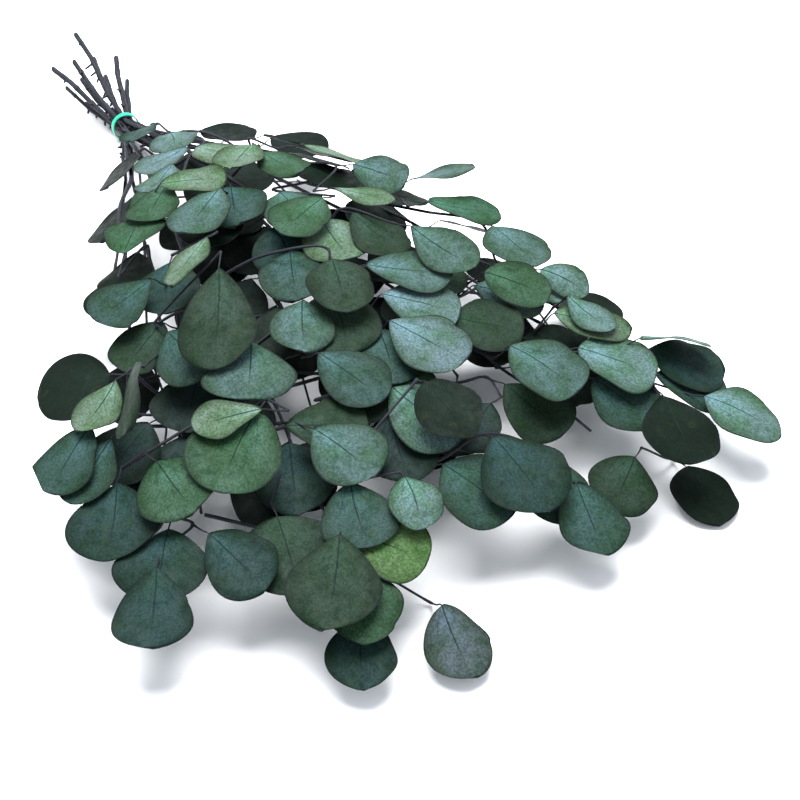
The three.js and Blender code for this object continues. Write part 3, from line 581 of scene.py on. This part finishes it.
# joins parts into one mesh, held just inside the frame's box; each part has its material's number
def buildPiece(name, parts, materials):
    mesh = bpy.data.meshes.new(name)
    start, faces, slots, points, place, size, colour = 0, [], [], [], [], [], []
    for part, slot in parts:
        for kind in ("quads", "triangles"):
            faces += (part[kind] + start).tolist()
            slots += [slot] * len(part[kind])
        start += len(part["points"])
        points.append(part["points"])
        place.append(part["place"])
        size.append(part["size"])
        colour.append(np.tile(toneOf(part), (len(part["points"]), 1)))
    low, high = (np.array(corner) for corner in cadBox)
    margin = meshShape["boxMargin"]
    placed = np.clip(toFrame(np.vstack(points)), low + margin, high - margin)
    mesh.from_pydata(placed.tolist(), [], faces)
    for material in materials:
        mesh.materials.append(material)
    mesh.polygons.foreach_set("material_index", slots)
    mesh.polygons.foreach_set("use_smooth", [True] * len(faces))
    for label, values in (("place", place), ("size", size)):
        attribute = mesh.attributes.new(label, "FLOAT_VECTOR", "POINT")
        attribute.data.foreach_set("vector", np.vstack(values).ravel())
    attribute = mesh.attributes.new("tone", "FLOAT_COLOR", "POINT")
    attribute.data.foreach_set("color", np.vstack(colour).ravel())
    mesh.set_sharp_from_angle(angle=math.radians(meshShape["sharpAngle"]))
    piece = bpy.data.objects.new(name, mesh)
    bpy.context.scene.collection.objects.link(piece)
    return piece


# leaf material
leafLook = {
    "bloomGain": (1.8, 2.1, 2.4, 1), "grainGain": (1.5, 1.45, 1.4, 1), "bloomShare": 0.6,
    "vein": "#0b1214", "spot": "#0f1814", "blotch": "#444f24", "under": "#516058",
    "yellower": "#c9e0bb", "patch": "#9fb3a4", "margin": "#a9b78c", "fine": "#a3b3a6",
    "midribHalf": 0.22, "midribSoft": 0.28, "sideSpacing": 4.6, "roughness": 0.58,
    "bumpHeight": 0.00018, "sheen": (0.75, 0.9, 0.88, 1),
}


def leafMaterial(look):
    material, tree = newMaterial("leafPreservedEucalyptusDried")
    place = addNode(tree, "ShaderNodeAttribute", attribute_name="place")
    size = addNode(tree, "ShaderNodeAttribute", attribute_name="size")
    tone = addNode(tree, "ShaderNodeAttribute", attribute_name="tone")
    st = addNode(tree, "ShaderNodeSeparateXYZ", {0: place.outputs["Vector"]})
    mm = addNode(tree, "ShaderNodeSeparateXYZ", {0: size.outputs["Vector"]})
    s, t, top = st.outputs
    x, y, _ = mm.outputs

    def ramp(value, low, high, toLow=0.0, toHigh=1.0):
        inputs = {"Value": value, "From Min": low, "From Max": high, "To Min": toLow, "To Max": toHigh}
        return addNode(tree, "ShaderNodeMapRange", inputs, interpolation_type="SMOOTHSTEP").outputs[0]

    def calc(kind, *values):
        return addNode(tree, "ShaderNodeMath", dict(enumerate(values)), operation=kind).outputs[0]

    def mix(factor, a, b, blend="MIX"):
        inputs = {0: factor, 6: a, 7: b}
        return addNode(tree, "ShaderNodeMix", inputs, data_type="RGBA", blend_type=blend).outputs[2]

    def noise(scale, detail, rough=0.55):
        inputs = {"Vector": size.outputs["Vector"], "Scale": scale, "Detail": detail, "Roughness": rough}
        return addNode(tree, "ShaderNodeTexNoise", inputs).outputs[0]

    def colour(hexColour):
        return toLinear(hexColour) + [1]

    broad, middle, fine, grain = noise(0.07, 2), noise(0.22, 3), noise(0.9, 4, 0.65), noise(2.6, 3, 0.7)
    ay, at = calc("ABSOLUTE", y), calc("ABSOLUTE", t)

    # veins, as a distance in mm from each line
    midribEdge = look["midribHalf"] + look["midribSoft"]
    midrib = calc("MULTIPLY", ramp(ay, look["midribHalf"] * 0.6, midribEdge, 1, 0), ramp(s, 0.5, 0.85, 1, 0))
    slope = calc("MULTIPLY_ADD", x, -0.011, 0.62)
    fan = calc("ABSOLUTE", calc("SUBTRACT", ay, calc("MULTIPLY", x, slope)))
    fanVein = calc("MULTIPLY", ramp(fan, 0.1, 0.4, 0.42, 0), ramp(s, 0.3, 0.6, 1, 0))
    wander = calc("MULTIPLY", middle, 5.0)
    sweep = calc("ADD", calc("SUBTRACT", x, calc("MULTIPLY", ay, 0.85)), wander)
    saw = calc("FRACT", calc("DIVIDE", sweep, look["sideSpacing"]))
    fromSide = calc("ABSOLUTE", calc("SUBTRACT", saw, 0.5))
    sideVein = calc("MULTIPLY", ramp(fromSide, 0.0, 0.06, 0.4, 0), ramp(at, 0.75, 0.92, 1, 0))
    edgeVein = ramp(calc("ABSOLUTE", calc("SUBTRACT", at, 0.87)), 0.0, 0.025, 0.28, 0)
    faint = calc("MAXIMUM", sideVein, edgeVein)
    veins = calc("MAXIMUM", calc("MAXIMUM", midrib, fanVein), faint)

    # colour: tone, patches, bloom by the midrib's base, margin, two grains, spots, blotches, veins, rim
    base = mix(ramp(broad, 0.35, 0.7), tone.outputs["Color"],
               mix(1.0, tone.outputs["Color"], colour(look["yellower"]), "MULTIPLY"))
    patches = mix(1.0, base, colour(look["patch"]), "MULTIPLY")
    base = mix(calc("MULTIPLY", ramp(middle, 0.5, 0.75), 0.45), base, patches)
    nearBase = calc("MULTIPLY", ramp(s, 0.05, 0.75, 1, 0), ramp(at, 0.0, 0.75, 1, 0.1))
    bloom = mix(1.0, base, look["bloomGain"], "MULTIPLY")
    base = mix(calc("MULTIPLY", nearBase, look["bloomShare"]), base, bloom)
    margin = mix(1.0, base, colour(look["margin"]), "MULTIPLY")
    base = mix(calc("MULTIPLY", ramp(at, 0.5, 1.0), 0.75), base, margin)
    base = mix(ramp(fine, 0.35, 0.65, 0.0, 0.85), base, mix(1.0, base, colour(look["fine"]), "MULTIPLY"))
    base = mix(ramp(grain, 0.38, 0.62, 0.6, 0.0), base, mix(1.0, base, look["grainGain"], "MULTIPLY"))
    spotted = calc("MAXIMUM", ramp(middle, 0.45, 0.62), ramp(at, 0.55, 0.95))
    spots = calc("MULTIPLY", ramp(grain, 0.54, 0.64), spotted)
    base = mix(calc("MULTIPLY", spots, 0.62), base, colour(look["spot"]))
    blotch = calc("MULTIPLY", ramp(noise(0.12, 1), 0.62, 0.72), ramp(fine, 0.4, 0.6))
    base = mix(calc("MULTIPLY", blotch, 0.12), base, colour(look["blotch"]))
    base = mix(calc("MULTIPLY", veins, 0.85), base, colour(look["vein"]))
    rim = calc("MAXIMUM", ramp(at, 0.93, 0.98), ramp(s, 0.97, 0.99))
    base = mix(calc("MULTIPLY", rim, 0.8), base, colour(look["vein"]))
    base = mix(ramp(top, -1, 1, 0.25, 0), base, colour(look["under"]))

    heightMap = calc("SUBTRACT", calc("MULTIPLY", fine, 0.7), calc("MULTIPLY", veins, 0.9))
    bump = addNode(tree, "ShaderNodeBump", {
        "Strength": 0.6, "Distance": look["bumpHeight"], "Height": heightMap,
    })
    roughness = ramp(middle, 0.3, 0.7, look["roughness"] - 0.08, look["roughness"] + 0.1)
    shader = addNode(tree, "ShaderNodeBsdfPrincipled", {
        "Base Color": base, "Roughness": roughness, "IOR": 1.42, "Specular IOR Level": 0.12,
        "Specular Tint": look["sheen"], "Normal": bump.outputs[0],
    })
    addNode(tree, "ShaderNodeOutputMaterial", {0: shader.outputs[0]})
    return material


# bark material
barkLook = {
    "dark": "#0e0f13", "light": "#2b2e37", "knot": "#353436", "roughness": 0.62, "bumpHeight": 0.0003,
    "streaks": (0.16, 3.2, 3.2), "flecks": 0.9,
}


def barkMaterial(look):
    material, tree = newMaterial("barkEucalyptusTwigWeathered")
    size = addNode(tree, "ShaderNodeAttribute", attribute_name="size").outputs["Vector"]
    along = addNode(tree, "ShaderNodeMapping", {"Vector": size, "Scale": look["streaks"]}).outputs[0]
    streaks = addNode(tree, "ShaderNodeTexNoise", {"Vector": along, "Scale": 1.0, "Detail": 4}).outputs[0]
    flecks = addNode(tree, "ShaderNodeTexNoise", {"Vector": size, "Scale": look["flecks"], "Detail": 3})
    streaked = addNode(tree, "ShaderNodeMapRange", {"Value": streaks, "From Min": 0.35, "From Max": 0.68})
    dark, light, knot = (toLinear(look[name]) + [1] for name in ("dark", "light", "knot"))
    base = addNode(tree, "ShaderNodeMix", {0: streaked.outputs[0], 6: dark, 7: light}, data_type="RGBA")
    pale = addNode(tree, "ShaderNodeMapRange", {
        "Value": flecks.outputs[0], "From Min": 0.6, "From Max": 0.75, "To Max": 0.5,
    })
    flecked = {0: pale.outputs[0], 6: base.outputs[2], 7: knot}
    base = addNode(tree, "ShaderNodeMix", flecked, data_type="RGBA")
    bump = addNode(tree, "ShaderNodeBump", {
        "Strength": 0.7, "Distance": look["bumpHeight"], "Height": streaks,
    })
    shader = addNode(tree, "ShaderNodeBsdfPrincipled", {
        "Base Color": base.outputs[2], "Roughness": look["roughness"], "IOR": 1.45,
        "Specular IOR Level": 0.2, "Normal": bump.outputs[0],
    })
    addNode(tree, "ShaderNodeOutputMaterial", {0: shader.outputs[0]})
    return material


leafGreen, bark = leafMaterial(leafLook), barkMaterial(barkLook)


# stalk: from its joint on the twig to the blade, then a little way along the midrib's underside
def stalkPart(leaf, stalk, seed):
    joint, base = stalk
    onBlade = twigShape["stalkOnBlade"]
    inside = leafPoint(leaf, onBlade, 0, leafHeight(leaf, onBlade, 0) - 0.15)
    middle = (joint + base) / 2 - [0, 0, 0.5]
    points = smoothLine([joint, middle, base - leaf["normal"] * 0.1, inside], 12)
    radii = np.interp(np.arange(13), twigShape["stalkRadiiAt"], twigShape["stalkRadii"])
    return tubePart(points, radii, twigShape["sides"], "bark", seed)


# one twig, thicker at each joint, with its stalks and leaves
def buildShoot(shoot, index):
    twig = smoothLine(shoot["stops"], twigShape["fine"] * (len(shoot["stops"]) - 1))
    share = np.linspace(0, 1, len(twig))
    radii = twigShape["rootRadius"] + (twigShape["tipRadius"] - twigShape["rootRadius"]) * share
    for stalk in shoot["stalks"]:
        apart = np.linalg.norm(twig - stalk[0], axis=1)
        radii = radii * (1 + twigShape["jointSwell"] * np.exp(-(apart / twigShape["jointReach"]) ** 2))
    parts = [(tubePart(twig, radii, twigShape["sides"], "bark", index * 3.1), 1)]
    for k, (leaf, stalk) in enumerate(zip(shoot["leaves"], shoot["stalks"])):
        parts += [(leafPart(leaf), 0), (stalkPart(leaf, stalk, index * 3.1 + k), 1)]
    piece = buildPiece(shoot["name"] + "_look", parts, [leafGreen, bark])
    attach(piece, "root")
    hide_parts(shoot["name"])


for index, shoot in enumerate(shoots):
    buildShoot(shoot, index)
print("stage: shoots built")


# the stem outside the band zigzags a little: crook times a triangle wave of the length so far
# knots every few centimetres, each with a swelling, and a short spur where the stem is bare
def buildStem(stem, index):
    points = smoothLine(stemStops(stem["row"]), stemShape["fineSteps"])
    coarse = np.linspace(0, 1, len(stem["radii"]))
    radii = stemShape["barkShare"] * np.interp(np.linspace(0, 1, len(points)), coarse, stem["radii"])
    far = np.append(0, np.cumsum(np.linalg.norm(np.diff(points, axis=0), axis=1)))
    free = stemShape["crook"] * np.clip((np.abs(points[:, 0]) - 9) / 30, 0, 1)
    phase = fullTurn * repeatable(index + 0.6)
    points[:, 1] += free * np.abs(np.mod(far / 46 + phase, 2) - 1) * 2 - free
    points[:, 2] += 0.6 * free * (np.abs(np.mod(far / 57 + phase, 2) - 1) * 2 - 1)
    parts = []
    knots = np.arange(8 + 5 * repeatable(index + 0.3), far[-1] - 20, stemShape["knotEvery"])
    for k, at in enumerate(knots):
        at += 6 * repeatable(index * 3 + k)
        swell = np.exp(-((far - at) / stemShape["knotReach"]) ** 2)
        radii = radii * (1 + stemShape["knotSwell"] * swell)
        nearest = int(np.argmin(np.abs(far - at)))
        start, ahead = points[nearest], unit(points[nearest + 1] - points[nearest])
        turn = fullTurn * repeatable(index * 5 + k * 1.3)
        out = unit(np.cross(ahead, [math.cos(turn), math.sin(turn), 0.5]))
        if abs(start[0]) < stemShape["bareFrom"] or start[0] > stemShape["bareTo"]:
            continue
        spur = stemShape["spurLength"] * (0.4 + repeatable(index + k * 2.1))
        line = start + np.linspace(0, 1, 5)[:, None] * (out * 0.8 + ahead * 0.6) * spur
        line[:, 2] = np.maximum(line[:, 2], 1.2)
        spurRadii = np.linspace(stemShape["spurRoot"], stemShape["spurTip"], len(line))
        parts.append((tubePart(line, spurRadii, stemShape["spurSides"], "bark", index + k * 7.0), 0))
    bare = tubePart(points, radii, stemShape["sides"], "bark", index * 11.0, stemShape["slant"])
    parts.append((bare, 0))
    name = f"stem_{index + 1:02d}"
    piece = buildPiece(name + "_look", parts, [bark])
    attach(piece, "root")
    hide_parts(name)


for index, stem in enumerate(stems):
    buildStem(stem, index)
print("stage: stems built")

# elastic band
bandShape = {
    "inner": 8.85, "outer": 9.95, "width": 4.4, "strands": 3, "around": 96, "profile": 20, "centre": 10,
    "square": 0.6, "groove": 0.18,
}
bandLook = {"colour": "#17b892", "dark": "#0c8a70", "roughness": 0.42, "bumpHeight": 0.0002}


# ring: radius r + thick/2 cos a, with |cos a| and |sin a| squared off to a flat strap with grooves,
# which is a little wider in three places around
def bandPart(shape):
    turn = np.arange(shape["around"]) * 2 * math.pi / shape["around"]
    a = np.arange(shape["profile"]) * 2 * math.pi / shape["profile"]
    middle, thick = (shape["inner"] + shape["outer"]) / 2, (shape["outer"] - shape["inner"]) / 2
    depth = thick * np.sign(np.cos(a)) * np.abs(np.cos(a)) ** shape["square"]
    across = shape["width"] / 2 * np.sign(np.sin(a)) * np.abs(np.sin(a)) ** shape["square"]
    groove = 1 - shape["groove"] * np.cos(across / shape["width"] * 2 * math.pi * shape["strands"])
    radius = middle + depth * groove
    around = turn[:, None]
    shift = 0.1 * np.sin(2 * around) + across * (1 - 0.12 * np.cos(3 * around))
    points = np.stack([shift, radius * np.cos(around), shape["centre"] + radius * np.sin(around)], -1)
    i, j = np.meshgrid(np.arange(shape["around"]), np.arange(shape["profile"]), indexing="ij")
    nextI, nextJ = (i + 1) % shape["around"], (j + 1) % shape["profile"]
    n = shape["profile"]
    quads = np.stack([i * n + j, i * n + nextJ, nextI * n + nextJ, nextI * n + j], -1).reshape(-1, 4)
    place = np.stack(np.broadcast_arrays(around * middle, across, depth), -1).reshape(-1, 3)
    return {"points": points.reshape(-1, 3), "quads": quads, "triangles": np.zeros((0, 3), int),
            "place": place, "size": place, "tone": "band"}


def bandMaterial(look):
    material, tree = newMaterial("bandRubberMoulded")
    size = addNode(tree, "ShaderNodeAttribute", attribute_name="size").outputs["Vector"]
    noise = addNode(tree, "ShaderNodeTexNoise", {"Vector": size, "Scale": 0.5, "Detail": 3}).outputs[0]
    light, dark = toLinear(look["colour"]) + [1], toLinear(look["dark"]) + [1]
    base = addNode(tree, "ShaderNodeMix", {0: noise, 6: light, 7: dark}, data_type="RGBA")
    bump = addNode(tree, "ShaderNodeBump", {
        "Strength": 0.4, "Distance": look["bumpHeight"], "Height": noise,
    })
    shader = addNode(tree, "ShaderNodeBsdfPrincipled", {
        "Base Color": base.outputs[2], "Roughness": look["roughness"], "IOR": 1.5,
        "Normal": bump.outputs[0],
    })
    addNode(tree, "ShaderNodeOutputMaterial", {0: shader.outputs[0]})
    return material


band = buildPiece("tie_band_look", [(bandPart(bandShape), 0)], [bandMaterial(bandLook)])
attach(band, "root")
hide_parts("tie_band")
print("stage: band built")

# floor, light and background
studio = {
    "floorSize": 6.0, "floorDrop": 0.0005, "floor": "#f4f5f7", "floorRoughness": 0.8,
    "sky": "#eef2f8", "skyStrength": 1.1,
    "key": [0.1, 0.25, 1.5], "keySize": 1.3, "keyPower": 66.0,
}


def buildStudio(look):
    half = look["floorSize"] / 2
    mesh = bpy.data.meshes.new("floor")
    corners = [(-half, -half, 0), (half, -half, 0), (half, half, 0), (-half, half, 0)]
    mesh.from_pydata(corners, [], [(0, 1, 2, 3)])
    material, tree = newMaterial("floorPaperMatte")
    shader = addNode(tree, "ShaderNodeBsdfPrincipled", {
        "Base Color": toLinear(look["floor"]) + [1], "Roughness": look["floorRoughness"],
    })
    addNode(tree, "ShaderNodeOutputMaterial", {0: shader.outputs[0]})
    mesh.materials.append(material)
    floor = bpy.data.objects.new("floor", mesh)
    floor.location.z = -look["floorDrop"]
    bpy.context.scene.collection.objects.link(floor)
    world = bpy.data.worlds.new("studio")
    world.use_nodes = True
    background = world.node_tree.nodes["Background"]
    background.inputs["Color"].default_value = toLinear(look["sky"]) + [1]
    background.inputs["Strength"].default_value = look["skyStrength"]
    bpy.context.scene.world = world
    data = bpy.data.lights.new("key", "AREA")
    data.shape, data.size, data.energy = "DISK", look["keySize"], look["keyPower"]
    key = bpy.data.objects.new("key", data)
    key.location = look["key"]
    bpy.context.scene.collection.objects.link(key)


buildStudio(studio)
bpy.context.scene.view_settings.view_transform = "Standard"
